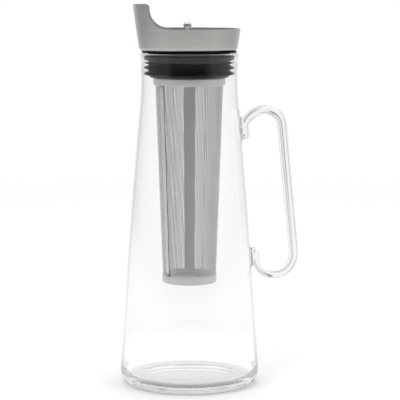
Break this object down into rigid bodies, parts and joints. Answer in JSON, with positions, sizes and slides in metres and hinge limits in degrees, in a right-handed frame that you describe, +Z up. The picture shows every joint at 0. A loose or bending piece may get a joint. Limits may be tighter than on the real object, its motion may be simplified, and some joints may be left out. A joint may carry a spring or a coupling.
{
  "type": "iced tea maker",
  "caption": "Tall tapering glass jug with a glass rod handle, a steel lid with a raised pouring lip and hinged flap, and a long perforated steel infuser hanging inside.",
  "frame": {"origin": "on the table, on the axis of the jug, at the centre of the ring it stands on", "axes": "+Z up along the jug's axis, -X towards the pouring lip, +X towards the handle, y = 0 is the plane of symmetry"},
  "size_m": [0.1419, 0.1102, 0.3],
  "materials": {
    "clear_glass": "clear blown borosilicate glass, fire polished",
    "satin_steel": "satin stainless steel, fine grain round the wall",
    "polished_steel": "mirror polished stainless steel",
    "perforated_steel": "finely perforated stainless steel sheet",
    "strap_steel": "plain satin steel strip",
    "black_silicone": "soft matt black silicone",
    "black_plastic": "fine matt black moulded plastic"
  },
  "bodies": {
    "jug": {"carafe": "clear_glass", "handle": "clear_glass"},
    "lid": {"lid_shell": "satin_steel", "lid_core": "black_plastic", "clamp_ring": "black_plastic", "gasket": "black_silicone", "hinge_pin": "polished_steel"},
    "flap": {"flap": "satin_steel", "flap_knob": "polished_steel", "knob_washer": "polished_steel", "knob_screw": "polished_steel"},
    "infuser": {"infuser_collar": "satin_steel", "grip_ring": "black_silicone", "infuser_screen": "perforated_steel", "seam_straps": "strap_steel", "infuser_base_ring": "satin_steel", "infuser_base_screen": "perforated_steel"}
  },
  "joints": [
    {"name": "lid_lift", "type": "slide", "parent": "jug", "child": "lid", "axis": [0, 0, 1], "range_m": [0, 0.205]},
    {"name": "flap_hinge", "type": "hinge", "parent": "lid", "child": "flap", "pos_m": [0.0305, 0, 0.2763], "axis": [0, 1, 0], "range_deg": [0, 95]},
    {"name": "infuser_release", "type": "slide", "parent": "lid", "child": "infuser", "axis": [0, 0, -1], "range_m": [0, 0.02]}
  ]
}
